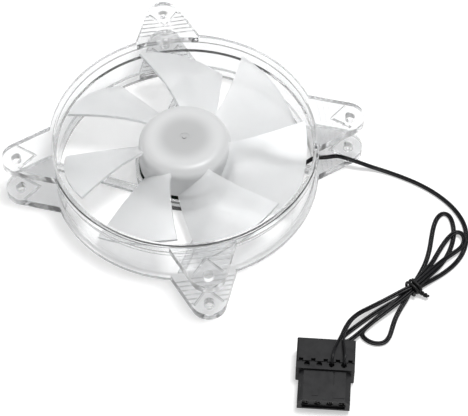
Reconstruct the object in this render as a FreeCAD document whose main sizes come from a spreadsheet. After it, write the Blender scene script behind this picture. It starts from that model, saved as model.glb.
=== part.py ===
import FreeCAD, Part
import math
import os

import Sketcher
from FreeCAD import Placement, Rotation, Vector

# A 120 mm case fan, 25 mm thick, with a clear round frame, a seven-blade
# impeller on an outer-rotor motor, and a two-wire lead that is folded into a
# tied hank and ends in an in-line 4-way power connector.
#
# Frame of reference: the origin is on the fan's axis at the underside of the
# frame, +Z points towards the visible face of the rotor, and the screw holes
# are at (+-52.5, +-52.5).  Millimetres.

TABLE = [
    # alias, value, meaning
    ("ring_outer_radius", 60.0, "outside of the two flanges"),
    ("wall_outer_radius", 58.6, "outside of the wall between the flanges"),
    ("bore_radius", 57.0, "air duct, lower part"),
    ("mouth_radius", 57.8, "air duct, upper part"),
    ("frame_height", 25.0, "overall thickness of the fan"),
    ("flange_thickness", 4.0, "each flange and ear"),
    ("bore_step", 16.0, "height at which the duct widens"),
    ("edge_break", 0.5, "chamfer on the outer edges of the ring"),
    ("ear_root", 58.0, "start of an ear, from the axis"),
    ("ear_half_width", 14.6, "half the width of an ear at its root"),
    ("ear_tip_centre", 72.8, "centre of the rounded tip, from the axis"),
    ("ear_tip_radius", 7.8, "radius of the rounded tip"),
    ("screw_reach", 74.246, "screw hole from the axis: 52.5 mm times root two"),
    ("screw_radius", 2.2, "screw hole"),
    ("rib_pitch", 2.35, "pitch of the fine ribs on an ear"),
    ("rib_first", 60.5, "first groove, from the axis"),
    ("rib_groove", 0.5, "width of a groove between ribs"),
    ("rib_depth", 0.4, "depth of a groove between ribs"),
    ("chevron_depth", 1.0, "depth of the step around the screw boss"),
    ("base_radius", 22.5, "motor base"),
    ("base_thickness", 2.0, "floor of the motor base"),
    ("rim_top", 6.4, "top of the rim of the motor base"),
    ("rim_inner_radius", 21.2, "inside of the rim"),
    ("boss_radius", 6.0, "boss that holds the bearing tube"),
    ("boss_top", 5.2, "top of the boss"),
    ("strut_offset", 18.3, "how far a strut's centreline passes from the axis"),
    ("strut_width", 2.6, "width of a plain strut"),
    ("strut_height", 3.2, "height of a plain strut"),
    ("strut_end", 54.2, "end of a strut, along itself"),
    ("channel_width", 2.5, "wire channel in the first strut"),
    ("channel_floor", 1.8, "floor of the wire channel"),
    ("channel_top", 3.7, "top of the walls of the wire channel"),
    ("label_radius", 17.0, "recess for the label under the base"),
    ("label_depth", 0.25, "depth of that recess"),
    ("tube_outer", 4.0, "bearing tube, outside radius"),
    ("tube_inner", 3.0, "bearing tube, inside radius"),
    ("tube_bottom", 1.0, "bearing tube, lower end"),
    ("tube_top", 19.8, "bearing tube, upper end"),
    ("bearing_radius", 1.53, "bore of the sleeve bearing"),
    ("bearing_bottom", 3.9, "sleeve bearing, lower end"),
    ("bearing_top", 18.6, "sleeve bearing, upper end"),
    ("shaft_radius", 1.5, "shaft"),
    ("shaft_bottom", 1.75, "lower end of the shaft"),
    ("shaft_top", 23.2, "upper end of the shaft"),
    ("clip_bottom", 2.65, "groove for the retaining clip"),
    ("clip_top", 3.25, "upper side of that groove"),
    ("hub_radius", 20.5, "outside of the hub"),
    ("hub_bottom", 8.0, "lower edge of the hub's skirt"),
    ("hub_top", 24.4, "top face of the hub"),
    ("hub_fillet", 5.5, "rounded rim of the hub"),
    ("cavity_radius", 18.9, "inside of the hub's skirt"),
    ("cavity_top", 22.6, "inside of the hub's top"),
    ("hub_boss", 3.2, "boss around the shaft"),
    ("hub_boss_bottom", 20.2, "lower end of that boss"),
    ("blade_tip", 54.2, "blade tip radius"),
    ("blade_root", 19.2, "radius at which a blade starts inside the skirt"),
    ("blade_count", 7, "blades"),
    ("yoke_radius", 18.85, "steel cup, outside"),
    ("yoke_wall", 0.75, "steel cup, thickness"),
    ("yoke_bottom", 8.8, "steel cup, lower edge"),
    ("yoke_top", 22.55, "steel cup, top"),
    ("magnet_inner", 16.3, "ring magnet, inside radius"),
    ("magnet_bottom", 9.2, "ring magnet, lower edge"),
    ("magnet_top", 18.9, "ring magnet, upper edge"),
    ("core_radius", 15.7, "laminated core, outside of its pole shoes"),
    ("core_bottom", 9.6, "laminated core, lower face"),
    ("core_top", 15.6, "laminated core, upper face"),
    ("board_radius", 20.8, "circuit board"),
    ("board_hole", 6.25, "hole in the circuit board"),
    ("board_bottom", 3.4, "underside of the circuit board"),
    ("board_top", 4.4, "upper side of the circuit board"),
    ("wire_diameter", 1.05, "one insulated wire"),
    ("pair_width", 2.1, "two wires side by side"),
    ("wire_pitch", 1.12, "between the two wires in the channel"),
    ("exit_height", 5.2, "height of the lead where it leaves the frame"),
    ("exit_angle", 39.2, "angle of the lead's window in the wall"),
    ("window_width", 3.2, "window in the wall for the lead"),
    ("window_height", 2.7, "window in the wall for the lead"),
    ("way_pitch", 5.08, "pitch of the connector's ways"),
    ("pin_shell_width", 24.3, "connector, pin end"),
    ("pin_shell_length", 14.4, "connector, pin end"),
    ("pin_shell_height", 10.4, "connector, pin end"),
    ("pin_cavity_width", 21.9, "inside of the pin end"),
    ("pin_cavity_height", 7.4, "inside of the pin end"),
    ("pin_cavity_depth", 10.0, "inside of the pin end"),
    ("socket_shell_width", 21.7, "connector, socket end"),
    ("socket_shell_length", 14.2, "connector, socket end"),
    ("socket_shell_height", 7.1, "connector, socket end"),
    ("way_height", 5.2, "height of the contacts"),
    ("pin_radius", 1.05, "round pin"),
    ("socket_hole", 1.5, "hole for one socket"),
    ("entry_radius", 1.2, "round wire entry"),
    ("entry_floor", 8.2, "floor of a wire entry"),
    ("entry_place", 2.3, "wire entries, from the middle of the connector"),
    ("tie_length", 7.2, "tie, along the hank"),
    ("waist_width", 5.2, "hank under the tie"),
    ("waist_bottom", 1.1, "hank under the tie"),
    ("waist_top", 4.4, "hank under the tie"),
    ("lobe_height", 3.4, "height of the loops of the hank"),
]
VALUES = {row[0]: float(row[1]) for row in TABLE}

doc = FreeCAD.newDocument("case_fan")
sheet = doc.addObject("Spreadsheet::Sheet", "Sizes")
for number, (alias, value, meaning) in enumerate(TABLE, 1):
    sheet.set("A%d" % number, meaning)
    sheet.set("B%d" % number, str(value))
    sheet.setAlias("B%d" % number, alias)
doc.recompute()


class Dim:
    """A size from the sheet, or a sum of such sizes, with its expression."""

    def __init__(self, value, text):
        self.value = float(value)
        self.text = text

    @staticmethod
    def of(other):
        if isinstance(other, Dim):
            return other
        return Dim(other, "%.6f" % float(other))

    def __add__(self, other):
        other = Dim.of(other)
        return Dim(self.value + other.value, "(%s + %s)" % (self.text, other.text))

    def __radd__(self, other):
        return Dim.of(other) + self

    def __sub__(self, other):
        other = Dim.of(other)
        return Dim(self.value - other.value, "(%s - %s)" % (self.text, other.text))

    def __rsub__(self, other):
        return Dim.of(other) - self

    def __mul__(self, other):
        other = Dim.of(other)
        return Dim(self.value * other.value, "(%s * %s)" % (self.text, other.text))

    __rmul__ = __mul__

    def __truediv__(self, other):
        other = Dim.of(other)
        return Dim(self.value / other.value, "(%s / %s)" % (self.text, other.text))

    def __neg__(self):
        return Dim(-self.value, "(0 - %s)" % self.text)


def D(alias):
    return Dim(VALUES[alias], "Sizes." + alias)


def bind(obj, prop, dim):
    dim = Dim.of(dim)
    if "Sizes." in dim.text:
        obj.setExpression(prop, dim.text)
    return dim.value


PARTS = []


def new_body(name, place=None, kept=True):
    body = doc.addObject("PartDesign::Body", name)
    body.Label = name
    body.AllowCompound = True
    if place is not None:
        body.Placement = place
    if kept:
        PARTS.append(body)
    return body


def plane(body, role):
    for feature in body.Origin.OriginFeatures:
        if feature.Role == role:
            return feature
    raise RuntimeError("no plane " + role)


def sketch(body, role="XY_Plane", height=0.0, turn=0.0):
    sk = body.newObject("Sketcher::SketchObject", body.Name + "_sketch")
    sk.AttachmentSupport = [(plane(body, role), "")]
    sk.MapMode = "FlatFace"
    height = Dim.of(height)
    sk.AttachmentOffset = Placement(
        Vector(0, 0, height.value), Rotation(Vector(0, 0, 1), turn)
    )
    if "Sizes." in height.text:
        sk.setExpression("AttachmentOffset.Base.z", height.text)
    return sk


def fix(sk, kind, geo, point, dim):
    """One distance from the sketch's origin, bound to the sheet."""
    dim = Dim.of(dim)
    if abs(dim.value) < 1e-9:
        sk.addConstraint(
            Sketcher.Constraint(
                "PointOnObject", geo, point, -2 if kind == "DistanceX" else -1
            )
        )
        return
    number = sk.addConstraint(
        Sketcher.Constraint(kind, -1, 1, geo, point, dim.value)
    )
    if "Sizes." in dim.text:
        sk.setExpression("Constraints[%d]" % number, dim.text)


def circle(sk, radius, x=0.0, y=0.0):
    radius, x, y = Dim.of(radius), Dim.of(x), Dim.of(y)
    geo = sk.addGeometry(
        Part.Circle(Vector(x.value, y.value, 0), Vector(0, 0, 1), radius.value), False
    )
    if abs(x.value) < 1e-9 and abs(y.value) < 1e-9:
        sk.addConstraint(Sketcher.Constraint("Coincident", geo, 3, -1, 1))
    else:
        fix(sk, "DistanceX", geo, 3, x)
        fix(sk, "DistanceY", geo, 3, y)
    number = sk.addConstraint(Sketcher.Constraint("Radius", geo, radius.value))
    if "Sizes." in radius.text:
        sk.setExpression("Constraints[%d]" % number, radius.text)
    return geo


def polygon(sk, points):
    points = [(Dim.of(x), Dim.of(y)) for x, y in points]
    lines = []
    for (ax, ay), (bx, by) in zip(points, points[1:] + points[:1]):
        lines.append(
            sk.addGeometry(
                Part.LineSegment(
                    Vector(ax.value, ay.value, 0), Vector(bx.value, by.value, 0)
                ),
                False,
            )
        )
    for a, b in zip(lines, lines[1:] + lines[:1]):
        sk.addConstraint(Sketcher.Constraint("Coincident", a, 2, b, 1))
    for geo, (x, y) in zip(lines, points):
        fix(sk, "DistanceX", geo, 1, x)
        fix(sk, "DistanceY", geo, 1, y)
    return lines


def box(sk, x0, x1, y0, y1):
    return polygon(sk, [(x0, y0), (x1, y0), (x1, y1), (x0, y1)])


def volume(body):
    doc.recompute()
    return body.Shape.Volume


def feature(body, kind, sk, length=None, reverse=False, through=False):
    cuts = kind in ("Pocket", "Groove")
    before = volume(body) if cuts else 0.0
    made = body.newObject("PartDesign::" + kind, body.Name + "_" + kind.lower())
    made.Profile = sk
    sk.Visibility = False
    if kind in ("Revolution", "Groove"):
        made.ReferenceAxis = (sk, ["V_Axis"])
        made.Angle = 360.0
    elif through:
        made.Type = "ThroughAll"
        made.Midplane = True
    else:
        length = Dim.of(length)
        made.Length = length.value
        if "Sizes." in length.text:
            made.setExpression("Length", length.text)
        made.Reversed = reverse
    after = volume(body)
    if cuts and after > before - 1e-4:
        raise RuntimeError("%s in %s cuts nothing" % (kind, body.Label))
    return made


def pad(body, sk, length, reverse=False):
    return feature(body, "Pad", sk, length, reverse)


def pocket(body, sk, length, reverse=False):
    return feature(body, "Pocket", sk, length, reverse)


def polar(body, originals, count):
    made = body.newObject("PartDesign::PolarPattern", body.Name + "_pattern")
    made.Originals = originals
    made.Axis = (originals[0].Profile[0], ["N_Axis"])
    made.Angle = 360.0
    count = Dim.of(count)
    made.Occurrences = int(round(count.value))
    if "Sizes." in count.text:
        made.setExpression("Occurrences", count.text)
    body.Tip = made
    doc.recompute()
    return made


def dress(body, kind, size, test):
    """A fillet or chamfer on the edges that pass the test."""
    doc.recompute()
    base = body.Tip
    names = [
        "Edge%d" % (i + 1) for i, edge in enumerate(base.Shape.Edges) if test(edge)
    ]
    if not names:
        raise RuntimeError("no edge to dress on " + body.Label)
    made = body.newObject("PartDesign::" + kind, body.Name + "_" + kind.lower())
    made.Base = (base, names)
    size = Dim.of(size)
    prop = "Radius" if kind == "Fillet" else "Size"
    setattr(made, prop, size.value)
    if "Sizes." in size.text:
        made.setExpression(prop, size.text)
    body.Tip = made
    doc.recompute()
    return made


def ring_edge(radius, height):
    def test(edge):
        curve = edge.Curve
        return (
            isinstance(curve, Part.Circle)
            and abs(curve.Radius - radius) < 1e-3
            and abs(curve.Center.z - height) < 1e-3
        )

    return test


def long_edge(axis, low_z=None, high_z=None, low_x=None, high_x=None):
    """Straight edges along one axis whose middle is inside the limits."""

    def test(edge):
        if not isinstance(edge.Curve, Part.Line):
            return False
        direction = edge.Curve.Direction
        if abs(abs(direction[axis]) - 1) > 1e-6:
            return False
        middle = edge.CenterOfMass
        return (
            (low_z is None or middle.z >= low_z)
            and (high_z is None or middle.z <= high_z)
            and (low_x is None or middle.x >= low_x)
            and (high_x is None or middle.x <= high_x)
        )

    return test


def tube_body(name, outer, inner, bottom, top):
    body = new_body(name)
    sk = sketch(body, height=bottom)
    circle(sk, outer)
    circle(sk, inner)
    pad(body, sk, Dim.of(top) - bottom)
    return body


# ---------------------------------------------------------------- the frame
frame = new_body("frame")
R, W, B, M = (
    D("ring_outer_radius"),
    D("wall_outer_radius"),
    D("bore_radius"),
    D("mouth_radius"),
)
H, F, E = D("frame_height"), D("flange_thickness"), D("edge_break")
sk = sketch(frame, "XZ_Plane")
polygon(
    sk,
    [
        (B, 0),
        (R - E, 0),
        (R, E),
        (R, F),
        (W, F),
        (W, H - F),
        (R, H - F),
        (R, H - E),
        (R - E, H),
        (M, H),
        (M, D("bore_step") + 0.8),
        (B, D("bore_step")),
    ],
)
feature(frame, "Revolution", sk)


# The four struts leave the motor base along a tangent and run out to the wall.
FIRST_STRUT = 16.4  # direction of the first strut
sk = sketch(frame, turn=FIRST_STRUT)
box(
    sk,
    4.0,
    D("strut_end"),
    D("strut_offset") - D("strut_width") / 2,
    D("strut_offset") + D("strut_width") / 2,
)
strut = pad(frame, sk, D("strut_height"))
polar(frame, [strut], 4)

# Motor base: floor, rim and the boss for the bearing tube.
sk = sketch(frame)
circle(sk, D("base_radius"))
pad(frame, sk, D("base_thickness"))
sk = sketch(frame, height=D("base_thickness"))
circle(sk, D("base_radius"))
circle(sk, D("rim_inner_radius"))
pad(frame, sk, D("rim_top") - D("base_thickness"))
sk = sketch(frame, height=D("base_thickness"))
circle(sk, D("boss_radius"))
pad(frame, sk, D("boss_top") - D("base_thickness"))
sk = sketch(frame, height=D("boss_top"))
circle(sk, D("tube_outer"))
pocket(frame, sk, D("boss_top") - D("tube_bottom"))
sk = sketch(frame)
circle(sk, D("label_radius"))
pocket(frame, sk, D("label_depth"), reverse=True)

# The first strut is a channel for the two wires.
half = D("channel_width") / 2
sk = sketch(frame, turn=FIRST_STRUT)
box(
    sk,
    13.4,
    54.6,
    D("strut_offset") - half - 0.65,
    D("strut_offset") + half + 0.65,
)
pad(frame, sk, D("channel_top"))
sk = sketch(frame, height=D("channel_floor"), turn=FIRST_STRUT)
box(sk, 1.5, 49.6, D("strut_offset") - half, D("strut_offset") + half)
pocket(frame, sk, 6.0, reverse=True)
# ... and its last stretch opens towards the window in the wall.
sk = sketch(frame, height=D("channel_floor"), turn=FIRST_STRUT)
polygon(
    sk,
    [
        (43.5, D("strut_offset") + half),
        (49.0, D("strut_offset") - half),
        (56.6, D("strut_offset") - half + 1.2),
        (56.6, D("strut_offset") + half + 3.0),
        (49.5, D("strut_offset") + half + 3.0),
    ],
)
mouth = D("bore_radius") - 0.05
before = frame.Shape.Volume
opening = frame.newObject("PartDesign::Pocket", "channel_mouth")
opening.Profile = sk
opening.Length = 2.1
opening.Reversed = True
doc.recompute()
# The flange behind the channel keeps its full height.
sk = sketch(frame, "XZ_Plane")
box(sk, B, R - E, 0.6, F)
feature(frame, "Revolution", sk)
# The window for the lead, through the wall just above the lower flange.
sk = sketch(frame, height=F + 0.02, turn=VALUES["exit_angle"])
box(sk, 55.0, 59.3, -D("window_width") / 2, D("window_width") / 2)
pocket(frame, sk, D("window_height"), reverse=True)

# Ears: a plate at each face, with a rounded tip.
EAR = 45.0


def ear_outline(sk):
    root, half_width = D("ear_root"), D("ear_half_width")
    centre, radius = D("ear_tip_centre"), D("ear_tip_radius")
    dx = centre.value - root.value
    span = math.hypot(dx, half_width.value)
    slope = math.atan2(-half_width.value, dx) + math.asin(radius.value / span)
    reach = math.sqrt(span**2 - radius.value**2)
    tx = root.value + reach * math.cos(slope)
    ty = half_width.value + reach * math.sin(slope)
    low = sk.addGeometry(
        Part.LineSegment(Vector(root.value, -half_width.value, 0), Vector(tx, -ty, 0)),
        False,
    )
    angle = math.atan2(ty, tx - centre.value)
    tip = sk.addGeometry(
        Part.ArcOfCircle(
            Part.Circle(Vector(centre.value, 0, 0), Vector(0, 0, 1), radius.value),
            -angle,
            angle,
        ),
        False,
    )
    high = sk.addGeometry(
        Part.LineSegment(Vector(tx, ty, 0), Vector(root.value, half_width.value, 0)),
        False,
    )
    back = sk.addGeometry(
        Part.LineSegment(
            Vector(root.value, half_width.value, 0),
            Vector(root.value, -half_width.value, 0),
        ),
        False,
    )
    sk.addConstraint(Sketcher.Constraint("Tangent", low, 2, tip, 1))
    sk.addConstraint(Sketcher.Constraint("Tangent", tip, 2, high, 1))
    sk.addConstraint(Sketcher.Constraint("Coincident", high, 2, back, 1))
    sk.addConstraint(Sketcher.Constraint("Coincident", back, 2, low, 1))
    sk.addConstraint(Sketcher.Constraint("PointOnObject", tip, 3, -1))
    fix(sk, "DistanceX", tip, 3, centre)
    number = sk.addConstraint(Sketcher.Constraint("Radius", tip, radius.value))
    sk.setExpression("Constraints[%d]" % number, radius.text)
    fix(sk, "DistanceX", low, 1, root)
    fix(sk, "DistanceY", low, 1, -half_width)
    fix(sk, "DistanceX", back, 1, root)
    fix(sk, "DistanceY", back, 1, half_width)


ear_features = []
for level in (Dim.of(0.0), H - F):
    sk = sketch(frame, height=level, turn=EAR)
    ear_outline(sk)
    ear_features.append(pad(frame, sk, F))

sk = sketch(frame, turn=EAR)
circle(sk, D("screw_radius"), D("screw_reach"), 0.0)
hole = frame.newObject("PartDesign::Pocket", "screw_hole")
hole.Profile = sk
hole.Length = VALUES["frame_height"]
bind(hole, "Length", H)
hole.Reversed = True
doc.recompute()
ear_features.append(hole)


def ear_grooves(sk):
    """Fine grooves across the ear, which stop at the step round the boss."""
    width = D("rib_groove")
    for number, outer in enumerate((12.9, 12.0, 11.1, 10.1, 9.2, 8.2)):
        x = D("rib_first") + D("rib_pitch") * number
        if number < 3:
            box(sk, x, x + width, -outer, outer)
        else:
            inner = (x.value - 65.4) * 0.81 + 1.0
            box(sk, x, x + width, inner, outer)
            box(sk, x, x + width, -outer, -inner)


def ear_chevron(sk):
    polygon(
        sk,
        [
            (65.2, 0.0),
            (73.2, 6.6),
            (73.7, 6.0),
            (66.4, 0.0),
            (73.7, -6.0),
            (73.2, -6.6),
        ],
    )


for top in (False, True):
    level = H if top else Dim.of(0.0)
    sk = sketch(frame, height=level, turn=EAR)
    ear_grooves(sk)
    ear_features.append(pocket(frame, sk, D("rib_depth"), reverse=not top))
    sk = sketch(frame, height=level, turn=EAR)
    ear_chevron(sk)
    ear_features.append(pocket(frame, sk, D("chevron_depth"), reverse=not top))
polar(frame, ear_features, 4)

# ------------------------------------------------------- bearing and shaft
tube_body("bearing_tube", D("tube_outer"), D("tube_inner"), D("tube_bottom"), D("tube_top"))

bearing = new_body("sleeve_bearing")
sk = sketch(bearing, "XZ_Plane")
polygon(
    sk,
    [
        (D("bearing_radius") + 0.25, D("bearing_bottom")),
        (D("tube_inner") - 0.3, D("bearing_bottom")),
        (D("tube_inner"), D("bearing_bottom") + 0.3),
        (D("tube_inner"), D("bearing_top") - 0.3),
        (D("tube_inner") - 0.3, D("bearing_top")),
        (D("bearing_radius") + 0.25, D("bearing_top")),
        (D("bearing_radius"), D("bearing_top") - 0.25),
        (D("bearing_radius"), D("bearing_bottom") + 0.25),
    ],
)
feature(bearing, "Revolution", sk)

thrust = new_body("thrust_pad")
sk = sketch(thrust, height=D("tube_bottom"))
circle(sk, D("tube_inner") - 0.05)
pad(thrust, sk, 0.7)

tube_body("wear_washer", D("tube_inner") - 0.05, 1.6, D("bearing_top"), D("bearing_top") + 0.4)

oil_ring = new_body("oil_ring")
sk = sketch(oil_ring, "XZ_Plane")
circle(sk, 0.32, 2.3, D("bearing_top") + 0.74)
feature(oil_ring, "Revolution", sk)

shaft = new_body("shaft")
S, low, high = D("shaft_radius"), D("shaft_bottom"), D("shaft_top")
sk = sketch(shaft, "XZ_Plane")
polygon(
    sk,
    [
        (0, low),
        (S - 0.3, low),
        (S, low + 0.3),
        (S, D("clip_bottom")),
        (S - 0.4, D("clip_bottom")),
        (S - 0.4, D("clip_top")),
        (S, D("clip_top")),
        (S, high - 0.2),
        (S - 0.2, high),
        (0, high),
    ],
)
feature(shaft, "Revolution", sk)

clip = new_body("retaining_clip")
sk = sketch(clip, height=D("clip_bottom") + 0.1)
circle(sk, 2.5)
circle(sk, D("shaft_radius") - 0.35)
pad(clip, sk, 0.4)
sk = sketch(clip, height=D("clip_bottom") + 0.1)
box(sk, 0.3, 3.0, -0.8, 0.8)
pocket(clip, sk, 0.4, reverse=True)

# ------------------------------------------------------------------ stator
core = new_body("stator_core")
sk = sketch(core, height=D("core_bottom"))
circle(sk, D("core_radius"))
circle(sk, D("tube_outer"))
pad(core, sk, D("core_top") - D("core_bottom"))
sk = sketch(core, height=D("core_bottom"), turn=45.0)
polygon(
    sk,
    [
        (6.3, 0.0),
        (5.94, -2.4),
        (11.38, -7.85),
        (13.6, -3.2),
        (14.0, -1.0),
        (D("core_radius") + 1.0, -1.0),
        (D("core_radius") + 1.0, 1.0),
        (14.0, 1.0),
        (13.6, 3.2),
        (11.38, 7.85),
        (5.94, 2.4),
    ],
)
window = pocket(core, sk, D("core_top") - D("core_bottom"), reverse=True)
polar(core, [window], 4)


def insulator(name, level, sign, post):
    """One half of the coil former: a plate, four arms and the lips."""
    body = new_body(name)
    down = sign < 0
    sk = sketch(body, height=level)
    circle(sk, 7.1)
    circle(sk, D("tube_outer") + 0.05)
    pad(body, sk, 0.7, reverse=down)
    sk = sketch(body, height=level)
    circle(sk, 7.1)
    circle(sk, 6.3)
    pad(body, sk, post, reverse=down)
    sk = sketch(body, height=level)
    box(sk, 6.6, 13.3, -3.1, 3.1)
    arm = pad(body, sk, 0.7, reverse=down)
    sk = sketch(body, height=level)
    box(sk, 12.5, 13.3, -4.4, 4.4)
    lip = pad(body, sk, 3.3, reverse=down)
    polar(body, [arm, lip], 4)
    return body


insulator("upper_insulator", D("core_top"), 1, Dim.of(3.3))
insulator("lower_insulator", D("core_bottom"), -1, D("core_bottom") - D("board_top"))

coils = new_body("stator_windings")
sk = sketch(coils, height=6.7)
box(sk, 7.35, 12.35, -4.9, 4.9)
block = pad(coils, sk, 11.8)
dress(coils, "Fillet", 1.2, long_edge(0))
rounding = coils.Tip
sk = sketch(coils, "YZ_Plane", height=7.0)
box(sk, -3.15, 3.15, 8.85, 16.35)
hollow = pocket(coils, sk, 6.0, reverse=True)
coil_pattern = coils.newObject("PartDesign::PolarPattern", "coil_pattern")
coil_pattern.Originals = [block, rounding, hollow]
coil_pattern.Axis = (block.Profile[0], ["N_Axis"])
coil_pattern.Angle = 360.0
coil_pattern.Occurrences = 4
coils.Tip = coil_pattern
doc.recompute()

board = tube_body(
    "circuit_board", D("board_radius"), D("board_hole"), D("board_bottom"), D("board_top")
)

posts = new_body("winding_posts")
sk = sketch(posts, height=D("board_top"), turn=45.0)
circle(sk, 0.35, 11.0, 0.0)
post = pad(posts, sk, 3.4)
polar(posts, [post], 4)

hall = new_body("hall_sensor")
sk = sketch(hall, height=D("board_top"), turn=200.0)
box(sk, 16.6, 18.0, -2.0, 2.0)
pad(hall, sk, 3.4)
dress(hall, "Chamfer", 0.5, long_edge(2))

chip = new_body("driver_chip")
sk = sketch(chip, height=D("board_top"), turn=245.0)
box(sk, 11.0, 14.9, -2.5, 2.5)
pad(chip, sk, 1.5)

capacitor = new_body("capacitor")
sk = sketch(capacitor, height=D("board_top"), turn=130.0)
circle(sk, 1.6, 17.4, 0.0)
pad(capacitor, sk, 3.0)
dress(capacitor, "Fillet", 0.3, lambda edge: isinstance(edge.Curve, Part.Circle)
      and abs(edge.Curve.Center.z - (VALUES["board_top"] + 3.0)) < 1e-3)

resistors = new_body("resistors")
sk = sketch(resistors, height=D("board_top"), turn=280.0)
box(sk, 15.6, 17.6, -0.6, 0.6)
box(sk, 15.6, 17.6, 2.2, 3.4)
pad(resistors, sk, 0.6)

label = new_body("back_label")
sk = sketch(label, height=D("label_depth") - 0.15)
circle(sk, D("label_radius") - 0.2)
pad(label, sk, 0.15)

# ------------------------------------------------------------------- rotor
tube_body(
    "ring_magnet",
    D("yoke_radius") - D("yoke_wall"),
    D("magnet_inner"),
    D("magnet_bottom"),
    D("magnet_top"),
)

yoke = new_body("rotor_yoke")
sk = sketch(yoke, height=D("yoke_bottom"))
circle(sk, D("yoke_radius"))
pad(yoke, sk, D("yoke_top") - D("yoke_bottom"))
sk = sketch(yoke, height=D("yoke_bottom"))
circle(sk, D("yoke_radius") - D("yoke_wall"))
inside_top = D("yoke_top") - D("yoke_wall")
pocket(yoke, sk, inside_top - D("yoke_bottom"), reverse=True)
dress(
    yoke,
    "Fillet",
    2.95,
    ring_edge(VALUES["yoke_radius"] - VALUES["yoke_wall"], inside_top.value),
)
dress(yoke, "Fillet", 3.7, ring_edge(VALUES["yoke_radius"], VALUES["yoke_top"]))
sk = sketch(yoke, height=D("yoke_top"))
circle(sk, D("hub_boss") + 0.05)
pocket(yoke, sk, 2.0)

hub = new_body("hub", kept=False)
sk = sketch(hub, height=D("hub_bottom"))
circle(sk, D("hub_radius"))
pad(hub, sk, D("hub_top") - D("hub_bottom"))
dress(hub, "Fillet", D("hub_fillet"), ring_edge(VALUES["hub_radius"], VALUES["hub_top"]))
sk = sketch(hub, height=D("hub_bottom"))
circle(sk, D("cavity_radius"))
circle(sk, D("hub_boss"))
pocket(hub, sk, D("cavity_top") - D("hub_bottom"), reverse=True)
dress(hub, "Fillet", 3.6, ring_edge(VALUES["cavity_radius"], VALUES["cavity_top"]))
sk = sketch(hub, height=D("hub_bottom"))
circle(sk, D("hub_boss") + 0.3)
pocket(hub, sk, D("hub_boss_bottom") - D("hub_bottom"), reverse=True)
sk = sketch(hub, height=D("hub_bottom"))
circle(sk, D("shaft_radius"))
pocket(hub, sk, D("shaft_top") - D("hub_bottom"), reverse=True)
# A small gate mark stands on the middle of the hub, in a shallow dish.
sk = sketch(hub, height=D("hub_top"))
circle(sk, 2.3)
circle(sk, 0.9)
pocket(hub, sk, 0.15)
sk = sketch(hub, height=D("hub_top") - 0.1)
circle(sk, 0.9)
pad(hub, sk, 0.5)


def between(table, x):
    """A smooth value from a short table, by cubic pieces."""
    n = len(table)
    for i in range(n - 1):
        if x <= table[i + 1][0] or i == n - 2:
            break
    (x0, y0), (x1, y1) = table[i], table[i + 1]
    left = table[i - 1] if i > 0 else (2 * x0 - x1, 2 * y0 - y1)
    right = table[i + 2] if i + 2 < n else (2 * x1 - x0, 2 * y1 - y0)
    m0 = (y1 - left[1]) / (x1 - left[0]) * (x1 - x0)
    m1 = (right[1] - y0) / (right[0] - x0) * (x1 - x0)
    u = (x - x0) / (x1 - x0)
    return (
        (2 * u**3 - 3 * u**2 + 1) * y0
        + (u**3 - 2 * u**2 + u) * m0
        + (3 * u**2 - 2 * u**3) * y1
        + (u**3 - u**2) * m1
    )


# Angles of the two edges of the first blade and the height of its lower edge,
# by radius: the leading edge is the upper one.
LEADING = [(19.2, 135.2), (25.0, 138.5), (32.0, 142.0), (40.0, 145.4), (47.0, 147.8), (54.2, 149.8)]
TRAILING = [(19.2, 92.0), (25.0, 97.0), (32.0, 101.2), (40.0, 104.8), (47.0, 107.2), (54.2, 109.0)]
LOWER = [(19.2, 8.6), (25.0, 7.6), (32.0, 6.8), (40.0, 6.0), (47.0, 5.4), (54.2, 5.0)]
UPPER = [(19.2, 21.8), (25.0, 22.3), (32.0, 22.7), (40.0, 22.8), (47.0, 22.8), (54.2, 22.7)]


def blade_point(radius, s, side):
    start = between(LEADING, radius)
    end = between(TRAILING, radius)
    top = between(UPPER, radius)
    bottom = between(LOWER, radius)

    def middle(q):
        angle = math.radians(start + (end - start) * q)
        height = top - (top - bottom) * (0.62 * q + 0.38 * q * q)
        return angle, height

    angle, height = middle(s)
    a0, h0 = middle(max(0.0, s - 0.02))
    a1, h1 = middle(min(1.0, s + 0.02))
    along, rise = radius * (a1 - a0), h1 - h0
    size = math.hypot(along, rise)
    thick = (0.95 + 0.85 * math.sin(math.pi * min(1.0, s * 0.9 + 0.08))) / 2
    # normal in the plane of the cylinder, pointing up
    shift_along = rise / size * thick * side
    shift_up = -along / size * thick * side
    turned = angle + shift_along / radius
    return Vector(
        radius * math.cos(turned), radius * math.sin(turned), height + shift_up
    )


def blade_solid():
    tip, root = VALUES["blade_tip"], VALUES["blade_root"]
    radii = [root + (tip - root) * i / 7.0 for i in range(8)]
    steps = [i / 8.0 for i in range(9)]
    faces, curves = [], []
    for side in (1, -1):
        grid = [[blade_point(r, q, side) for q in steps] for r in radii]
        surface = Part.BSplineSurface()
        surface.interpolate(grid)
        faces.append(surface.toShape())
        u0, u1, v0, v1 = surface.bounds()
        curves.append(
            [
                surface.uIso(u0).toShape(),
                surface.uIso(u1).toShape(),
                surface.vIso(v0).toShape(),
                surface.vIso(v1).toShape(),
            ]
        )
    for a, b in zip(*curves):
        faces.append(Part.makeRuledSurface(a, b))
    shell = Part.makeShell(faces)
    shell.sewShape()
    solid = Part.makeSolid(shell)
    if solid.Volume < 0:
        solid.reverse()
    return solid


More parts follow.
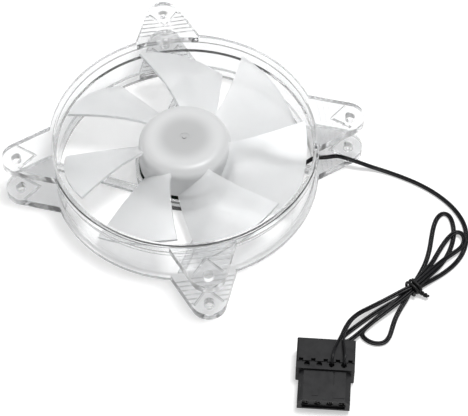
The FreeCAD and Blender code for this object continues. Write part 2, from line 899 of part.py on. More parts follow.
blade_shape = blade_solid()
if not blade_shape.isValid() or not blade_shape.isClosed():
    raise RuntimeError("the blade isn't a closed solid")
pieces = [hub]
count = int(VALUES["blade_count"])
for number in range(count):
    blade = doc.addObject("Part::Feature", "blade_%d" % (number + 1))
    blade.Shape = blade_shape
    blade.Placement = Placement(
        Vector(0, 0, 0), Rotation(Vector(0, 0, 1), 360.0 / count * number)
    )
    pieces.append(blade)
impeller = doc.addObject("Part::MultiFuse", "impeller")
impeller.Label = "impeller"
impeller.Shapes = pieces
impeller.Refine = False
PARTS.append(impeller)

# --------------------------------------------------------------- connector
# Its own frame: X across the ways, Y from the socket end to the pin end.
CONNECTOR = Placement(Vector(113.16, -53.88, 0.0), Rotation(Vector(0, 0, 1), 32.06))
pitch = D("way_pitch")
ways = [pitch * k for k in (-1.5, -0.5, 0.5, 1.5)]

shell = new_body("connector_pin_shell", CONNECTOR)
w, length, tall = (
    D("pin_shell_width"),
    D("pin_shell_length"),
    D("pin_shell_height"),
)
sk = sketch(shell)
box(sk, -w / 2, w / 2, 0.0, length)
pad(shell, sk, tall)
dress(shell, "Fillet", 0.7, long_edge(1))
# cavity for the mating plug, with two cut corners
cw, ch = D("pin_cavity_width") / 2, D("pin_cavity_height") / 2
zc = D("way_height")
sk = sketch(shell, "XZ_Plane", height=-length)
polygon(
    sk,
    [
        (-cw, zc - ch),
        (cw, zc - ch),
        (cw, zc + ch - 2.0),
        (cw - 2.0, zc + ch),
        (-cw + 2.0, zc + ch),
        (-cw, zc + ch - 2.0),
    ],
)
pocket(shell, sk, D("pin_cavity_depth"), reverse=True)
# a step at the back, the four round wire entries and five square pockets
sk = sketch(shell, height=tall)
box(sk, -w / 2 - 1, w / 2 + 1, -1.0, 3.5)
pocket(shell, sk, 0.5)
sk = sketch(shell, height=tall)
for x in ways:
    circle(sk, D("entry_radius"), x, D("entry_place"))
pocket(shell, sk, tall - D("entry_floor"))
sk = sketch(shell, height=tall)
for k in (-2, -1, 0, 1, 2):
    x = pitch * k
    box(sk, x - 0.9, x + 0.9, 3.1, 4.7)
pocket(shell, sk, 1.6)

plug = new_body("connector_socket_shell", CONNECTOR)
w2, length2, tall2 = (
    D("socket_shell_width"),
    D("socket_shell_length"),
    D("socket_shell_height"),
)
bottom2 = zc - tall2 / 2
sk = sketch(plug, "XZ_Plane")
polygon(
    sk,
    [
        (-w2 / 2, bottom2),
        (w2 / 2, bottom2),
        (w2 / 2, bottom2 + tall2 - 2.2),
        (w2 / 2 - 2.2, bottom2 + tall2),
        (-w2 / 2 + 2.2, bottom2 + tall2),
        (-w2 / 2, bottom2 + tall2 - 2.2),
    ],
)
pad(plug, sk, length2)
sk = sketch(plug, "XZ_Plane", height=length2)
for x in ways:
    circle(sk, D("socket_hole"), x, zc)
pocket(plug, sk, 11.4)
# a shallow recess frames the mouth
sk = sketch(plug, "XZ_Plane", height=length2)
box(sk, -w2 / 2 + 2.0, w2 / 2 - 2.0, bottom2 + 1.0, bottom2 + tall2 - 1.0)
pocket(plug, sk, 0.8)
# latch slit and two blank pads on the upper face
sk = sketch(plug, height=bottom2 + tall2)
box(sk, 3.4, 3.9, -6.4, -0.5)
pocket(plug, sk, 0.6)
sk = sketch(plug, height=bottom2 + tall2)
box(sk, -4.9, -2.5, -12.0, -9.0)
box(sk, 3.6, 8.4, -12.7, -10.1)
pad(plug, sk, 0.2)

pins = new_body("connector_pins", CONNECTOR)
sk = sketch(pins, "XZ_Plane", height=-(length - D("pin_cavity_depth")))
for x in ways:
    circle(sk, D("pin_radius"), x, zc)
pad(pins, sk, 7.6, reverse=True)
dress(pins, "Chamfer", 0.4, lambda edge: isinstance(edge.Curve, Part.Circle)
      and abs(edge.Curve.Center.y - (VALUES["pin_shell_length"]
      - VALUES["pin_cavity_depth"] + 7.6)) < 1e-3)

sockets = new_body("connector_sockets", CONNECTOR)
sk = sketch(sockets, "XZ_Plane", height=length2 - 1.4)
for x in ways:
    circle(sk, D("socket_hole") - 0.02, x, zc)
    circle(sk, D("pin_radius") + 0.05, x, zc)
pad(sockets, sk, 10.0, reverse=True)

# -------------------------------------------------------------------- lead


def route_shape(points, radius, show=None):
    """A tube along straight runs that tangent arcs join."""
    points = [Vector(*p) for p in points]
    edges = []
    last = points[0]
    for i in range(1, len(points) - 1):
        a, b, c = points[i - 1], points[i], points[i + 1]
        u, v = (b - a), (c - b)
        run = min(u.Length, v.Length)
        u.normalize()
        v.normalize()
        turn = u.getAngle(v)
        if turn < 1e-4:
            continue
        arc = 0.45 * run / math.tan(turn / 2)
        start = b - u * (0.45 * run)
        end = b + v * (0.45 * run)
        inward = (v - u)
        inward.normalize()
        centre = b + inward * (arc / math.cos(turn / 2))
        outward = b - centre
        outward.normalize()
        if (start - last).Length > 1e-5:
            edges.append(Part.LineSegment(last, start).toShape())
        edges.append(Part.Arc(start, centre + outward * arc, end).toShape())
        last = end
        if show:
            print("%s point %d: turn %.1f deg, radius %.1f mm" % (show, i, math.degrees(turn), arc))
    edges.append(Part.LineSegment(last, points[-1]).toShape())
    path = Part.Wire(edges)
    direction = points[1] - points[0]
    ring = Part.Wire(Part.makeCircle(radius, points[0], direction))
    tube = path.makePipeShell([ring], True, False)
    expected = math.pi * radius**2 * path.Length
    if tube.Volume < 0:
        tube.reverse()
    if abs(tube.Volume - expected) > 0.01 * expected:
        raise RuntimeError("%s: volume %.1f, not %.1f" % (show, tube.Volume, expected))
    if show:
        print("%s: %.1f mm long" % (show, path.Length))
    return tube


def solid_part(name, shape):
    part = doc.addObject("Part::Feature", name)
    part.Label = name
    part.Shape = shape
    PARTS.append(part)
    return part


# Points of the free run, from the window in the wall to the hank.
LEAD_RUN = [
    (45.49, 37.10, 5.20), (49.30, 40.10, 5.25), (52.45, 43.70, 5.30),
    (57.57, 45.50, 5.30), (62.50, 47.30, 4.50), (67.34, 49.95, 2.60),
    (73.23, 52.14, 1.30), (81.12, 53.80, 1.10), (90.26, 55.05, 1.10),
    (100.17, 54.83, 1.10), (109.76, 52.62, 1.10), (117.42, 48.40, 1.10),
    (122.42, 42.60, 1.10), (125.30, 35.50, 1.10), (125.74, 28.09, 1.10),
    (124.28, 20.82, 1.10), (122.17, 14.74, 1.30), (120.33, 10.08, 1.70),
]
# Points of the tail, from the tie to the place where the two wires part.
LEAD_TAIL = [
    (116.30, 2.65, 3.00), (113.92, -2.11, 2.40), (111.38, -7.47, 2.10),
    (108.98, -13.89, 2.60), (107.24, -19.80, 4.20), (107.09, -25.92, 6.80),
    (108.45, -32.03, 9.60), (110.16, -36.73, 11.50), (111.89, -40.88, 12.00),
]
# Each wire ends on the floor of its entry in the connector.
WIRE_ENDS = [
    [(111.60, -41.10, 12.00), (112.75, -44.60, 13.20), (113.69, -48.40, 13.40),
     (114.09, -50.58, 11.20), (114.09, -50.58, 8.20)],
    [(112.30, -40.90, 12.00), (114.25, -43.60, 13.20), (116.87, -46.30, 13.40),
     (118.40, -47.89, 11.20), (118.40, -47.89, 8.20)],
]
radius = VALUES["pair_width"] / 2
wire = VALUES["wire_diameter"] / 2
solid_part("lead_run", route_shape(LEAD_RUN, radius, "lead_run"))
solid_part("lead_tail", route_shape(LEAD_TAIL, radius, "lead_tail"))
for name, points in zip(("wire_end_ground", "wire_end_supply"), WIRE_ENDS):
    solid_part(name, route_shape(points, wire, name))

# The two wires inside the frame: along the channel, then up to the window.
cosine, sine = math.cos(math.radians(FIRST_STRUT)), math.sin(math.radians(FIRST_STRUT))


def from_strut(x, y, z):
    return (x * cosine - y * sine, x * sine + y * cosine, z)


out = math.radians(VALUES["exit_angle"] - FIRST_STRUT)
reach = VALUES["wall_outer_radius"] + 0.9
inner_points = [
    (2.6, VALUES["strut_offset"], 2.42),
    (44.2, VALUES["strut_offset"], 2.42),
    (50.0, 19.75, 2.95),
    (57.3 * math.cos(out), 57.3 * math.sin(out), VALUES["exit_height"] - 0.3),
    (reach * math.cos(out), reach * math.sin(out), VALUES["exit_height"]),
]
inner_wires = []
for side in (-0.5, 0.5):
    shift = side * VALUES["wire_pitch"]
    moved = []
    for i, (x, y, z) in enumerate(inner_points):
        a = inner_points[max(0, i - 1)]
        b = inner_points[min(len(inner_points) - 1, i + 1)]
        dx, dy = b[0] - a[0], b[1] - a[1]
        size = math.hypot(dx, dy)
        moved.append(from_strut(x - dy / size * shift, y + dx / size * shift, z))
    inner_wires.append(route_shape(moved, wire))
solid_part("inner_wires", Part.makeCompound(inner_wires))

joints = new_body("solder_joints")
sk = sketch(joints, height=2.97, turn=FIRST_STRUT)
for side in (-0.5, 0.5):
    circle(sk, 0.5, 3.2, D("strut_offset") + D("wire_pitch") * side)
pad(joints, sk, D("board_bottom") - 2.97)

# The hank: one closed solid of its outer shape, narrower under the tie.
TIE = Placement(Vector(118.20, 5.85, 0.0), Rotation(Vector(0, 0, 1), 74.6))
hank = new_body("lead_hank")
sk = sketch(hank)
UPPER_LOBE = [
    (116.5, 10.3), (114.3, 18.7), (109.8, 30.7), (105.3, 41.1), (104.8, 46.5),
    (107.1, 49.6), (111.1, 49.3), (116.0, 45.0), (119.5, 43.7), (122.9, 41.1),
    (123.7, 36.8), (122.4, 26.6), (121.5, 14.7), (121.4, 8.9),
]
LOWER_LOBE = [
    (114.7, 2.7), (113.0, -5.4), (110.8, -13.5), (108.5, -21.7), (106.6, -28.4),
    (106.0, -32.4), (106.9, -35.7), (109.6, -36.2), (112.2, -32.9),
    (114.1, -28.5), (120.6, -28.0), (124.3, -24.9), (124.3, -19.6),
    (121.9, -9.4), (120.3, 1.1),
]
polygon(sk, UPPER_LOBE)
pad(hank, sk, D("lobe_height"))
sk = sketch(hank)
polygon(sk, LOWER_LOBE)
pad(hank, sk, D("lobe_height"))
sk = sketch(hank, height=D("waist_bottom"))
angle = math.radians(74.6)
along = Vector(math.cos(angle), math.sin(angle), 0)
across = Vector(-math.sin(angle), math.cos(angle), 0)
corners = []
for a, b in ((-6.0, -2.6), (6.0, -2.6), (6.0, 2.6), (-6.0, 2.6)):
    corner = Vector(118.20, 5.85, 0) + along * a + across * b
    corners.append((corner.x, corner.y))
polygon(sk, corners)
pad(hank, sk, D("waist_top") - D("waist_bottom"))

tie = new_body("lead_tie", TIE)
half_length, half_waist = D("tie_length") / 2, D("waist_width") / 2
sk = sketch(tie)
box(sk, -half_length, half_length, -half_waist - 1.1, half_waist + 1.1)
pad(tie, sk, D("waist_top") + 1.1)
dress(tie, "Fillet", 1.0, long_edge(0))
sk = sketch(tie, "YZ_Plane", height=-half_length)
box(sk, -half_waist, half_waist, D("waist_bottom"), D("waist_top"))
pocket(tie, sk, D("tie_length"), reverse=True)

# ---------------------------------------------------------------- checking
doc.recompute()
bad = [o.Name for o in doc.Objects if "Invalid" in o.State or "Error" in o.State]
if bad:
    raise RuntimeError("failed objects: " + ", ".join(bad))
labels = [part.Label for part in PARTS]
if len(labels) != len(set(labels)):
    raise RuntimeError("two parts share a label")
for part in PARTS:
    if part.Shape.isNull() or not part.Shape.isValid() or part.Shape.Volume <= 0:
        raise RuntimeError("bad shape: " + part.Label)

os.makedirs("parts", exist_ok=True)
for part in PARTS:
    part.Shape.exportStep("parts/%s.step" % part.Label)
    box_ = part.Shape.BoundBox
    print(
        "%-24s solids %d  volume %9.1f  z %6.2f .. %6.2f"
        % (part.Label, len(part.Shape.Solids), part.Shape.Volume, box_.ZMin, box_.ZMax)
    )
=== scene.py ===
import math

import bpy
from mathutils import Matrix, Vector


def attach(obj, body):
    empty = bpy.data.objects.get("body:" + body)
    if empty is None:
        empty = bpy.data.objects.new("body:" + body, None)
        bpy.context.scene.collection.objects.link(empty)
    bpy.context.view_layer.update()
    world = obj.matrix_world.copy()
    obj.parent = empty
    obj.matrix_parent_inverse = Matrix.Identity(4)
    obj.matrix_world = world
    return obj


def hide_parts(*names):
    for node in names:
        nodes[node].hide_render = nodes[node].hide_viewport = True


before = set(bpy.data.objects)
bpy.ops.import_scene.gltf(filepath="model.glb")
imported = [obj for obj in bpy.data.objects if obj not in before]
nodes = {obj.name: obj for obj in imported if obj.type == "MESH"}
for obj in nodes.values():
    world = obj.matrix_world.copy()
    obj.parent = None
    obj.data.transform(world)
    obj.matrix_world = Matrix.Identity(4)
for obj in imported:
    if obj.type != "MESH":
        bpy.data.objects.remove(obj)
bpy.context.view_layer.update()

scene = bpy.context.scene
MM = 0.001
BASE, ROTOR = "frame_body", "rotor"

# ------------------------------------------------------------------ camera
azimuth, elevation, roll = math.radians(36.93), math.radians(53.90), math.radians(-0.73)
target = Vector((29.95, -4.11, 0.0)) * MM
back = Vector((
    math.sin(azimuth) * math.cos(elevation),
    -math.cos(azimuth) * math.cos(elevation),
    math.sin(elevation),
))
right = Vector((math.cos(azimuth), math.sin(azimuth), 0.0))
up = back.cross(right)
side = right * math.cos(roll) + up * math.sin(roll)
top = up * math.cos(roll) - right * math.sin(roll)
place = target + back * (801.0 * MM)
camera_data = bpy.data.cameras.new("camera")
camera_data.lens = 138.65
camera_data.sensor_width = 36.0
camera_data.clip_start = 0.02
camera_data.clip_end = 20.0
camera = bpy.data.objects.new("camera", camera_data)
camera.matrix_world = Matrix((
    (side.x, top.x, back.x, place.x),
    (side.y, top.y, back.y, place.y),
    (side.z, top.z, back.z, place.z),
    (0.0, 0.0, 0.0, 1.0),
))
scene.collection.objects.link(camera)
scene.camera = camera
scene.view_settings.view_transform = "Standard"
scene.view_settings.look = "None"
scene.cycles.max_bounces = 20
scene.cycles.transmission_bounces = 20
scene.cycles.transparent_max_bounces = 24
scene.cycles.diffuse_bounces = 6
scene.cycles.glossy_bounces = 6


# --------------------------------------------------------------- materials
def material(name):
    m = bpy.data.materials.new(name)
    m.use_nodes = True
    tree = m.node_tree
    shader = tree.nodes["Principled BSDF"]
    return m, tree, shader


def put(shader, **values):
    for key, value in values.items():
        shader.inputs[key.replace("_", " ")].default_value = value


def noise(tree, scale, detail=3.0, rough=0.5, stretch=None):
    coords = tree.nodes.new("ShaderNodeTexCoord")
    out = coords.outputs["Object"]
    if stretch:
        mapping = tree.nodes.new("ShaderNodeMapping")
        mapping.inputs["Scale"].default_value = stretch
        tree.links.new(out, mapping.inputs["Vector"])
        out = mapping.outputs["Vector"]
    node = tree.nodes.new("ShaderNodeTexNoise")
    node.inputs["Scale"].default_value = scale
    node.inputs["Detail"].default_value = detail
    node.inputs["Roughness"].default_value = rough
    tree.links.new(out, node.inputs["Vector"])
    return node


def ramp(tree, source, low, high, start=0.3, end=0.7):
    node = tree.nodes.new("ShaderNodeValToRGB")
    node.color_ramp.elements[0].position = start
    node.color_ramp.elements[1].position = end
    if isinstance(low, (int, float)):
        low, high = (low, low, low), (high, high, high)
    node.color_ramp.elements[0].color = (*low, 1.0)
    node.color_ramp.elements[1].color = (*high, 1.0)
    tree.links.new(source, node.inputs["Fac"])
    return node.outputs["Color"]


def bump(tree, shader, source, strength, distance, previous=None):
    node = tree.nodes.new("ShaderNodeBump")
    node.inputs["Strength"].default_value = strength
    node.inputs["Distance"].default_value = distance
    tree.links.new(source, node.inputs["Height"])
    if previous is not None:
        tree.links.new(previous, node.inputs["Normal"])
    tree.links.new(node.outputs["Normal"], shader.inputs["Normal"])
    return node.outputs["Normal"]


def moulded(name, low, high, rough_low, rough_high, grain=2600.0, depth=0.00002, **extra):
    """Moulded plastic: slight colour mottling, uneven gloss, fine grain."""
    m, tree, shader = material(name)
    broad = noise(tree, 140.0, 4.0)
    tree.links.new(ramp(tree, broad.outputs["Fac"], low, high), shader.inputs["Base Color"])
    tree.links.new(
        ramp(tree, noise(tree, 420.0, 3.0).outputs["Fac"], rough_low, rough_high),
        shader.inputs["Roughness"],
    )
    bump(tree, shader, noise(tree, grain, 2.0).outputs["Fac"], 0.35, depth)
    put(shader, **extra)
    return m


def metal(name, low, high, rough_low, rough_high, stretch=None):
    m, tree, shader = material(name)
    grain = noise(tree, 900.0, 3.0, 0.6, stretch)
    tree.links.new(ramp(tree, grain.outputs["Fac"], low, high), shader.inputs["Base Color"])
    tree.links.new(
        ramp(tree, grain.outputs["Fac"], rough_low, rough_high), shader.inputs["Roughness"]
    )
    put(shader, Metallic=1.0)
    return m


# Clear polycarbonate: polished, with faint flow ripples from the mould.
clear, tree, shader = material("clear_polycarbonate")
tree.links.new(
    ramp(tree, noise(tree, 45.0, 3.0).outputs["Fac"], (0.88, 0.885, 0.89), (0.92, 0.925, 0.93)),
    shader.inputs["Base Color"],
)
put(shader, IOR=1.45)
shader.inputs["Transmission Weight"].default_value = 0.96
tree.links.new(
    ramp(tree, noise(tree, 60.0, 3.0).outputs["Fac"], 0.02, 0.07), shader.inputs["Roughness"]
)
bump(tree, shader, noise(tree, 55.0, 2.0).outputs["Fac"], 0.25, 0.0004)

# Frosted translucent rotor, less transmissive over the hub. Painted shade darkens
# the base colour over the middle of the hub, where the steel cup lies close under it.
frosted, tree, shader = material("frosted_rotor")
plain = ramp(tree, noise(tree, 70.0, 4.0).outputs["Fac"], (0.88, 0.89, 0.895), (0.92, 0.925, 0.93))
spot = tree.nodes.new("ShaderNodeTexCoord")
flatten = tree.nodes.new("ShaderNodeVectorMath")
flatten.operation = "MULTIPLY"
flatten.inputs[1].default_value = (1.0, 1.0, 0.0)
tree.links.new(spot.outputs["Object"], flatten.inputs[0])
reach_out = tree.nodes.new("ShaderNodeVectorMath")
reach_out.operation = "LENGTH"
tree.links.new(flatten.outputs["Vector"], reach_out.inputs[0])
# painted shade: base colour darkened to 0.76 towards the middle of the hub top
painted_centre_shade = tree.nodes.new("ShaderNodeMapRange")
painted_centre_shade.interpolation_type = "SMOOTHSTEP"
painted_centre_shade.inputs["From Min"].default_value = 0.0075
painted_centre_shade.inputs["From Max"].default_value = 0.0145
painted_centre_shade.inputs["To Min"].default_value = 0.76
painted_centre_shade.inputs["To Max"].default_value = 1.0
tree.links.new(reach_out.outputs["Value"], painted_centre_shade.inputs["Value"])
dim = tree.nodes.new("ShaderNodeVectorMath")
dim.operation = "SCALE"
tree.links.new(plain, dim.inputs[0])
# painted shade: base colour darkened to 0.78 over the hub top inside the skirt, above the cup
painted_cup_shade = tree.nodes.new("ShaderNodeMapRange")
painted_cup_shade.interpolation_type = "SMOOTHSTEP"
painted_cup_shade.inputs["From Min"].default_value = 0.0178
painted_cup_shade.inputs["From Max"].default_value = 0.0212
painted_cup_shade.inputs["To Min"].default_value = 0.78
painted_cup_shade.inputs["To Max"].default_value = 1.0
tree.links.new(reach_out.outputs["Value"], painted_cup_shade.inputs["Value"])
# painted shade: the two darkenings multiplied into the base colour
painted_hub_shade = tree.nodes.new("ShaderNodeMath")
painted_hub_shade.operation = "MULTIPLY"
tree.links.new(painted_centre_shade.outputs["Result"], painted_hub_shade.inputs[0])
tree.links.new(painted_cup_shade.outputs["Result"], painted_hub_shade.inputs[1])
tree.links.new(painted_hub_shade.outputs["Value"], dim.inputs["Scale"])
tree.links.new(dim.outputs["Vector"], shader.inputs["Base Color"])
tree.links.new(
    ramp(tree, noise(tree, 500.0, 3.0).outputs["Fac"], 0.28, 0.36), shader.inputs["Roughness"]
)
thin = tree.nodes.new("ShaderNodeMapRange")
thin.inputs["From Min"].default_value = 0.0195
thin.inputs["From Max"].default_value = 0.0225
thin.inputs["To Min"].default_value = 0.25
thin.inputs["To Max"].default_value = 0.62
tree.links.new(reach_out.outputs["Value"], thin.inputs["Value"])
tree.links.new(thin.outputs["Result"], shader.inputs["Transmission Weight"])
put(shader, IOR=1.35)
bump(tree, shader, noise(tree, 3200.0, 2.0).outputs["Fac"], 0.2, 0.00002)

brass = metal("turned_brass", (0.62, 0.45, 0.2), (0.75, 0.58, 0.3), 0.22, 0.36, (1, 1, 9))
bronze = metal("oiled_bronze", (0.45, 0.29, 0.15), (0.6, 0.4, 0.22), 0.35, 0.5)
steel = metal("ground_steel", (0.55, 0.55, 0.56), (0.68, 0.68, 0.69), 0.15, 0.28, (1, 1, 12))
sheet_steel = metal("stacked_sheets", (0.3, 0.3, 0.31), (0.44, 0.44, 0.45), 0.35, 0.5, (1, 1, 30))
zinc = metal("drawn_zinc_steel", (0.6, 0.6, 0.6), (0.72, 0.72, 0.72), 0.35, 0.5)
tin = metal("tin_plate", (0.68, 0.68, 0.67), (0.82, 0.82, 0.8), 0.18, 0.32)
copper = metal("enamelled_copper", (0.5, 0.2, 0.07), (0.7, 0.32, 0.14), 0.25, 0.4, (1, 1, 14))
nylon = moulded("white_nylon", (0.78, 0.77, 0.72), (0.86, 0.85, 0.8), 0.4, 0.5)
rubber = moulded("black_rubber", (0.015, 0.015, 0.015), (0.03, 0.03, 0.03), 0.6, 0.75)
dark = moulded("dark_insulator", (0.05, 0.05, 0.055), (0.09, 0.09, 0.095), 0.4, 0.55)
chip = moulded("chip_resin", (0.02, 0.02, 0.02), (0.04, 0.04, 0.04), 0.45, 0.6)
green = moulded("board_resist", (0.004, 0.012, 0.007), (0.01, 0.024, 0.014), 0.3, 0.45)
ferrite = moulded("bonded_ferrite", (0.03, 0.03, 0.032), (0.06, 0.06, 0.062), 0.5, 0.7)
foil = moulded("label_foil", (0.55, 0.56, 0.57), (0.66, 0.67, 0.68), 0.3, 0.42)
SOFT = {"Specular_IOR_Level": 0.22}
shells = moulded("connector_nylon", (0.008, 0.008, 0.009), (0.014, 0.014, 0.015), 0.3, 0.42, depth=0.00003, **SOFT)
pvc = moulded("lead_insulation", (0.004, 0.004, 0.005), (0.009, 0.009, 0.01), 0.3, 0.45, **SOFT)
tie_pvc = moulded("tie_cover", (0.006, 0.006, 0.006), (0.012, 0.012, 0.012), 0.4, 0.55, **SOFT)

FINISH = {
    "frame": clear, "impeller": frosted, "bearing_tube": brass, "sleeve_bearing": bronze,
    "thrust_pad": nylon, "wear_washer": nylon, "oil_ring": rubber, "shaft": steel,
    "retaining_clip": nylon, "stator_core": sheet_steel, "upper_insulator": dark,
    "lower_insulator": dark, "stator_windings": copper, "circuit_board": green,
    "winding_posts": tin, "hall_sensor": chip, "driver_chip": chip, "capacitor": chip,
    "resistors": chip, "back_label": foil, "ring_magnet": ferrite, "rotor_yoke": zinc,
    "connector_pin_shell": shells, "connector_socket_shell": shells, "connector_pins": tin,
    "connector_sockets": tin, "inner_wires": pvc, "solder_joints": tin, "lead_run": pvc,
    "lead_tail": pvc, "wire_end_ground": pvc, "wire_end_supply": pvc, "lead_hank": pvc,
    "lead_tie": tie_pvc,
}
for name, finish in FINISH.items():
    for held in nodes[name].material_slots:
        held.material = finish

# -------------------------------------------------------------------- lead
# Control points of the whole lead, in mm: out of the window in the wall,
# round to the hank, up and down through the tie five times, and over the
# connector into its third and fourth way.
RUN = [
    (45.49, 37.10, 5.20), (49.30, 40.10, 5.25), (52.45, 43.60, 5.30),
    (57.57, 45.20, 5.20), (62.46, 47.20, 3.90), (67.27, 49.88, 1.60),
    (73.17, 52.14, 0.62), (81.08, 53.79, 0.62), (90.22, 55.04, 0.62),
    (100.13, 54.83, 0.62), (109.72, 52.62, 0.62), (117.38, 48.40, 0.62),
    (122.38, 42.60, 0.62), (125.25, 35.50, 0.62), (125.69, 28.09, 0.62),
    (124.23, 20.82, 0.62), (122.15, 14.74, 0.90), (120.60, 10.30, 1.50),
]
FOLD = [
    (119.25, 5.60, 1.65), (117.00, 0.30, 1.10), (114.23, -5.74, 0.62),
    (111.52, -13.72, 0.62), (109.32, -21.86, 0.62), (108.00, -27.45, 0.62),
    (107.14, -31.44, 0.80), (108.27, -34.21, 1.50), (110.72, -33.46, 2.20),
    (111.74, -29.35, 2.20), (112.66, -23.92, 2.00), (114.08, -15.95, 1.80),
    (115.43, -7.90, 1.90), (116.45, -1.20, 2.30),
]
OUTER = [
    (117.12, 6.15, 1.70), (116.45, 13.23, 1.20), (115.07, 20.40, 0.62),
    (112.83, 26.93, 0.62), (110.07, 32.83, 0.62), (107.29, 38.80, 0.62),
    (105.83, 44.11, 0.62), (106.60, 47.84, 0.62), (109.71, 48.28, 0.62),
    (113.65, 45.10, 0.62), (117.25, 40.05, 0.62), (119.62, 33.84, 0.62),
    (120.86, 27.38, 0.80), (120.94, 20.75, 1.60), (120.23, 13.87, 2.50),
]
LOOP = [
    (119.25, 5.60, 2.80), (118.10, -0.50, 2.70), (116.51, -7.29, 2.50),
    (114.45, -15.19, 2.00), (112.48, -22.03, 1.00), (112.46, -26.06, 0.62),
    (116.27, -27.27, 0.62), (120.06, -26.51, 0.62), (122.95, -24.04, 0.62),
    (123.17, -20.10, 0.62), (121.58, -15.71, 0.62), (119.86, -10.45, 0.70),
    (119.10, -4.91, 1.20), (118.70, 0.60, 1.75),
]
INNER = [
    (117.12, 6.15, 2.80), (117.60, 13.53, 2.60), (117.73, 20.84, 2.00),
    (116.73, 27.28, 1.60), (116.13, 32.66, 1.70), (116.00, 37.56, 1.80),
    (116.94, 41.56, 1.80), (119.62, 42.62, 1.90), (122.66, 40.21, 1.90),
    (123.53, 35.98, 1.80), (122.35, 31.75, 1.70), (121.09, 27.30, 1.80),
    (120.20, 21.70, 2.60), (119.30, 14.00, 3.60),
]
TAIL = [
    (118.20, 5.90, 3.90), (116.28, 2.00, 3.80), (113.97, -2.61, 3.00),
    (111.40, -7.97, 2.40), (109.00, -13.89, 2.80), (107.26, -19.80, 4.40),
    (107.09, -25.92, 6.80), (108.43, -32.02, 9.40), (110.15, -37.14, 11.60),
    (111.91, -41.29, 12.70), (113.60, -44.40, 13.20), (115.00, -46.70, 13.40),
    (115.85, -48.20, 12.90), (116.22, -49.00, 11.80), (116.25, -49.23, 10.40),
    (116.25, -49.24, 8.40),
]
ROUTE = [Vector(p) * MM for p in RUN + FOLD + OUTER + LOOP + INNER + TAIL]


def nurbs(name, points):
    """The evaluated points of one smooth NURBS line through these controls."""
    data = bpy.data.curves.new(name, "CURVE")
    data.dimensions = "3D"
    data.resolution_u = 10
    spline = data.splines.new("NURBS")
    spline.points.add(len(points) - 1)
    for held, point in zip(spline.points, points):
        held.co = (*point, 1.0)
    spline.order_u = 3
    spline.use_endpoint_u = True
    holder = bpy.data.objects.new(name, data)
    scene.collection.objects.link(holder)
    bpy.context.view_layer.update()
    mesh = bpy.data.meshes.new_from_object(
        holder.evaluated_get(bpy.context.evaluated_depsgraph_get())
    )
    line = [v.co.copy() for v in mesh.vertices]
    bpy.data.meshes.remove(mesh)
    bpy.data.objects.remove(holder)
    bpy.data.curves.remove(data)
    return line


def travel(line):
    total, out = 0.0, [0.0]
    for a, b in zip(line, line[1:]):
        total += (b - a).length
        out.append(total)
    return out


def tube(line, radius, around=12, close=True):
    """Vertices and faces of a round tube along a line."""
    verts, faces = [], []
    frame_side = None
    for i, point in enumerate(line):
        before = line[max(0, i - 1)]
        after = line[min(len(line) - 1, i + 1)]
        along = (after - before).normalized()
        if frame_side is None:
            helper = Vector((0, 0, 1)) if abs(along.z) < 0.9 else Vector((1, 0, 0))
            frame_side = helper.cross(along).normalized()
        frame_side = (frame_side - along * frame_side.dot(along)).normalized()
        other = along.cross(frame_side)
        thick = radius(i) if callable(radius) else radius
        for k in range(around):
            angle = 2 * math.pi * k / around
            verts.append(
                point + (frame_side * math.cos(angle) + other * math.sin(angle)) * thick
            )
    for i in range(len(line) - 1):
        for k in range(around):
            a = i * around + k
            b = i * around + (k + 1) % around
            faces.append((a, b, b + around, a + around))
    if close:
        faces.append(tuple(range(around - 1, -1, -1)))
        last = (len(line) - 1) * around
        faces.append(tuple(range(last, last + around)))
    return verts, faces


def piece(name, parts, finish, body):
    verts, faces = [], []
    for more_verts, more_faces in parts:
        start = len(verts)
        verts += more_verts
        faces += [tuple(v + start for v in f) for f in more_faces]
    mesh = bpy.data.meshes.new(name)
    mesh.from_pydata([tuple(v) for v in verts], [], faces)
    mesh.polygons.foreach_set("use_smooth", [len(f) == 4 for f in faces])
    mesh.update()
    made = bpy.data.objects.new(name, mesh)
    scene.collection.objects.link(made)
    mesh.materials.append(finish)
    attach(made, body)
    return made


def ease(x):
    x = min(1.0, max(0.0, x))
    return x * x * (3 - 2 * x)


centre = nurbs("lead_line", ROUTE)
reach = travel(centre)
whole = reach[-1]
across_ways = Vector((math.cos(math.radians(32.06)), math.sin(math.radians(32.06)), 0.0))
WIRE = 1.05 * MM / 2
# which side each wire opens to is settled once, just before they part
parting = next(i for i in range(len(centre)) if whole - reach[i] <= 19.5 * MM)
heading = (centre[parting + 1] - centre[parting - 1]).normalized()
ending = across_ways
if Vector((0, 0, 1)).cross(heading).dot(across_ways) < 0:
    ending = across_ways * -1.0
strands = [[], []]
for i, point in enumerate(centre):
    along = (centre[min(len(centre) - 1, i + 1)] - centre[max(0, i - 1)]).normalized()
    level = Vector((0, 0, 1)).cross(along)
    level = level.normalized() if level.length > 1e-2 else ending
    offset = level * (0.535 * MM)
    # the pair opens over the connector, one wire for each way
    left = whole - reach[i]
    apart = ease((19.0 * MM - left) / (13.0 * MM))
    offset = offset.lerp(ending * (2.54 * MM), apart)
    strands[0].append(point + offset)
    strands[1].append(point - offset)
lead = piece(
    "lead_pair",
    [tube(strands[0], WIRE), tube(strands[1], WIRE)],
    pvc, BASE,
)
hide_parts("lead_run", "lead_tail", "lead_hank", "wire_end_ground", "wire_end_supply")

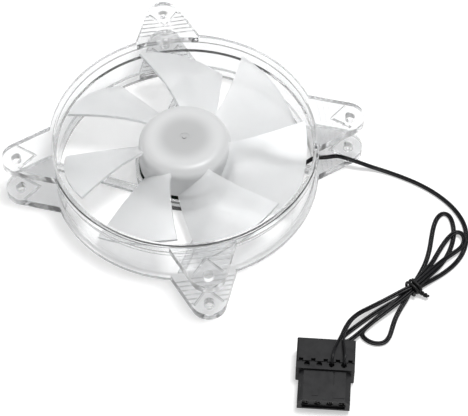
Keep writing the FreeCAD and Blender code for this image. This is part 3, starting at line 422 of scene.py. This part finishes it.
# The tie: covered wire, wound round the bundle and twisted at its end.
knot = Vector((118.20, 5.85, 2.85)) * MM
angle = math.radians(74.6)
bundle = Vector((math.cos(angle), math.sin(angle), 0.0))
cross = Vector((-math.sin(angle), math.cos(angle), 0.0))
wound = []
TURNS = 2.5
for i in range(131):
    q = i / 130
    a = math.radians(180) + 2 * math.pi * TURNS * q
    c, s = math.cos(a), math.sin(a)
    power = 0.8
    wound.append(
        knot
        + bundle * ((q - 0.5) * 4.6 * MM)
        + cross * (math.copysign(abs(c) ** power, c) * 3.1 * MM)
        + Vector((0, 0, 1)) * (math.copysign(abs(s) ** power, s) * 2.15 * MM)
    )
twisted = []
for turn in (0.0, math.pi):
    end = []
    for i in range(31):
        q = i / 30
        a = turn + 2 * math.pi * 1.5 * q
        end.append(
            knot
            - cross * ((2.9 + 4.1 * q) * MM)
            + bundle * ((0.2 + 1.8 * q) * MM)
            + (bundle * math.cos(a) + Vector((0, 0, 1)) * math.sin(a)) * (0.5 * MM)
            + Vector((0, 0, 1)) * ((-0.2 - 0.9 * q) * MM)
        )
    twisted.append(end)
tie = piece(
    "tie_wire",
    [tube(wound, 0.64 * MM, 10), tube(twisted[0], 0.55 * MM, 10), tube(twisted[1], 0.55 * MM, 10)],
    tie_pvc, BASE,
)
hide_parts("lead_tie")

# ---------------------------------------------------------- floor and light
floor_mesh = bpy.data.meshes.new("floor")
floor_mesh.from_pydata(
    [(-3, -3, -0.0003), (3, -3, -0.0003), (3, 3, -0.0003), (-3, 3, -0.0003)],
    [], [(0, 1, 2, 3)],
)
floor = bpy.data.objects.new("floor", floor_mesh)
scene.collection.objects.link(floor)
paper, tree, shader = material("white_sweep")
tree.links.new(
    ramp(tree, noise(tree, 6.0, 2.0).outputs["Fac"], 0.61, 0.62), shader.inputs["Base Color"]
)
shader.inputs["Emission Color"].default_value = (1.0, 1.0, 1.0, 1.0)
shader.inputs["Emission Strength"].default_value = 0.42
put(shader, Roughness=0.9)
shader.inputs["Specular IOR Level"].default_value = 0.2
floor_mesh.materials.append(paper)

world = bpy.data.worlds.new("studio")
scene.world = world
world.use_nodes = True
tree = world.node_tree
sky = tree.nodes["Background"]
coords = tree.nodes.new("ShaderNodeTexCoord")
split = tree.nodes.new("ShaderNodeSeparateXYZ")
shade = tree.nodes.new("ShaderNodeValToRGB")
shade.color_ramp.elements[0].position = 0.0
shade.color_ramp.elements[0].color = (0.32, 0.33, 0.34, 1.0)
shade.color_ramp.elements[1].position = 0.6
shade.color_ramp.elements[1].color = (1.0, 1.0, 1.0, 1.0)
tree.links.new(coords.outputs["Generated"], split.inputs["Vector"])
tree.links.new(split.outputs["Z"], shade.inputs["Fac"])
tree.links.new(shade.outputs["Color"], sky.inputs["Color"])
sky.inputs["Strength"].default_value = 0.5


def softbox(name, place, aim, size, power):
    data = bpy.data.lights.new(name, "AREA")
    data.shape = "RECTANGLE"
    data.size, data.size_y = size
    data.energy = power
    light = bpy.data.objects.new(name, data)
    light.location = place
    light.rotation_mode = "QUATERNION"
    light.rotation_quaternion = (Vector(aim) - Vector(place)).to_track_quat("-Z", "Y")
    scene.collection.objects.link(light)


softbox("overhead", (0.165, 0.204, 1.1), (0.03, 0, 0), (0.36, 0.36), 11.0)
softbox("left", (-0.9, -0.5, 0.7), (0.03, 0, 0), (0.8, 0.6), 1.5)
